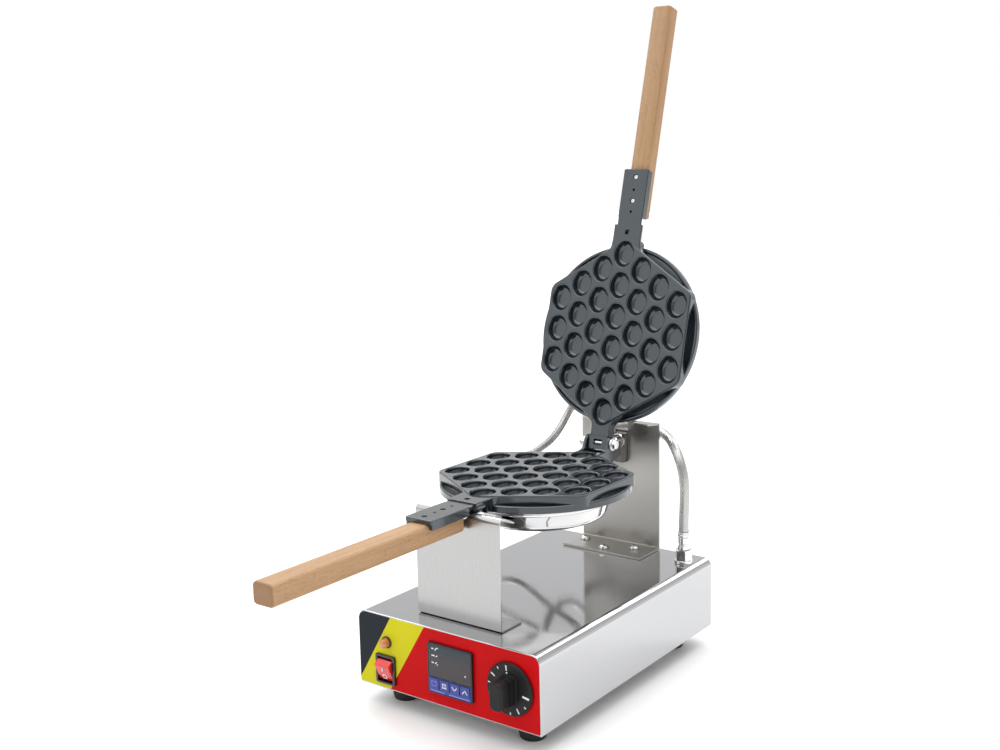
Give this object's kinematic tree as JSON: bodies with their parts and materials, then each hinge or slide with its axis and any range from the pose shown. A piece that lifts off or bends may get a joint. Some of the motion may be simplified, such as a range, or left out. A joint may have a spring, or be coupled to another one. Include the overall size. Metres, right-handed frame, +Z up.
{
  "type": "bubble waffle maker",
  "caption": "Countertop bubble waffle maker: flip-over hinged cup moulds with wooden handles on brackets over a stainless control base with timer, controller, switch and lamp.",
  "frame": {"origin": "centre of the object's bounding box in plan, at the plane the feet stand on, conduits not counted", "axes": "+Z up, +Y from the control panel towards the back, +X to the right seen from the panel"},
  "size_m": [0.2339, 0.628, 0.6753],
  "materials": {
    "brushed_steel": "fine brushed stainless sheet",
    "bright_steel": "bright plated steel hardware",
    "polished_pan": "mirror-polished stainless pan",
    "dark_steel": "heat-darkened steel",
    "nonstick_casting": "cast aluminium with dark grey non-stick coating",
    "beech": "clear-lacquered beech",
    "black_rubber": "black rubber",
    "black_plastic": "satin black plastic",
    "display_window": "smoked glossy window",
    "blue_key": "blue key tops",
    "red_plastic": "glossy red plastic",
    "panel_film": "printed film: black, yellow and red fields",
    "amber_lens": "amber lens",
    "braided_steel": "stainless wire braid",
    "brass": "turned brass",
    "brown_bakelite": "dark brown moulded case",
    "cream_plastic": "cream moulded plastic"
  },
  "bodies": {
    "base": {"base_cover": "brushed_steel", "bottom_plate": "brushed_steel", "front_overlay": "panel_film", "front_left_foot": "black_rubber", "front_right_foot": "black_rubber", "rear_left_foot": "black_rubber", "rear_right_foot": "black_rubber", "front_bracket": "brushed_steel", "front_bracket_screw_left": "bright_steel", "front_bracket_screw_right": "bright_steel", "rear_upright": "brushed_steel", "upright_screw_left": "bright_steel", "upright_screw_middle": "bright_steel", "upright_screw_right": "bright_steel", "pivot_bearing_block": "dark_steel", "controller_bezel": "black_plastic", "controller_case": "black_plastic", "controller_window": "display_window", "rocker_housing": "black_plastic", "lamp_lens": "amber_lens", "lamp_bezel": "black_plastic", "timer_case": "brown_bakelite", "terminal_block": "cream_plastic", "solid_state_relay": "black_plastic", "mains_inlet_gland": "black_plastic", "conduit_fitting": "bright_steel", "conduit_ferrule": "bright_steel", "feed_conduit": "braided_steel"},
    "lower_mould": {"lower_casting": "nonstick_casting", "lower_pan": "polished_pan", "lower_pan_screw": "bright_steel", "lower_heating_element": "dark_steel", "lower_handle": "beech", "lower_handle_screw_1": "bright_steel", "lower_handle_screw_2": "bright_steel", "lower_feed_gland": "bright_steel", "lower_jumper_gland": "bright_steel", "hinge_bolt": "bright_steel", "hinge_washer": "bright_steel", "hinge_nut": "bright_steel", "flip_shaft": "bright_steel", "flip_shaft_collar": "bright_steel", "flip_shaft_nut": "bright_steel", "jumper_conduit": "braided_steel"},
    "upper_mould": {"upper_casting": "nonstick_casting", "upper_pan": "polished_pan", "upper_pan_screw": "bright_steel", "upper_heating_element": "dark_steel", "upper_handle": "beech", "upper_handle_screw_1": "bright_steel", "upper_handle_screw_2": "bright_steel", "upper_jumper_gland": "bright_steel"},
    "timer": {"timer_knob": "black_plastic", "timer_shaft": "brass"},
    "rocker_button": {"rocker": "red_plastic"},
    "key_1": {"controller_key_1": "blue_key"},
    "key_2": {"controller_key_2": "blue_key"},
    "key_3": {"controller_key_3": "blue_key"},
    "key_4": {"controller_key_4": "blue_key"}
  },
  "joints": [
    {"name": "mould_flip", "type": "hinge", "parent": "base", "child": "lower_mould", "pos_m": [0, 0.16456, 0.2101], "axis": [0, 1, 0], "range_deg": [-20, 30], "deforming": ["feed_conduit"]},
    {"name": "lid_hinge", "type": "hinge", "parent": "lower_mould", "child": "upper_mould", "pos_m": [0, 0.16456, 0.2155], "axis": [1, 0, 0], "range_deg": [0, 105.7], "deforming": ["jumper_conduit"]},
    {"name": "timer_turn", "type": "hinge", "parent": "base", "child": "timer", "pos_m": [0.0751, -0.10464, 0.0569], "axis": [0, 1, 0], "range_deg": [0, 255]},
    {"name": "rocker_tilt", "type": "hinge", "parent": "base", "child": "rocker_button", "pos_m": [-0.0719, -0.10164, 0.0399], "axis": [1, 0, 0], "range_deg": [-23, 0]},
    {"name": "key_1_press", "type": "slide", "parent": "base", "child": "key_1", "axis": [0, 1, 0], "range_m": [0, 0.0008], "stiffness_N_per_m": 400},
    {"name": "key_2_press", "type": "slide", "parent": "base", "child": "key_2", "axis": [0, 1, 0], "range_m": [0, 0.0008], "stiffness_N_per_m": 400},
    {"name": "key_3_press", "type": "slide", "parent": "base", "child": "key_3", "axis": [0, 1, 0], "range_m": [0, 0.0008], "stiffness_N_per_m": 400},
    {"name": "key_4_press", "type": "slide", "parent": "base", "child": "key_4", "axis": [0, 1, 0], "range_m": [0, 0.0008], "stiffness_N_per_m": 400}
  ]
}
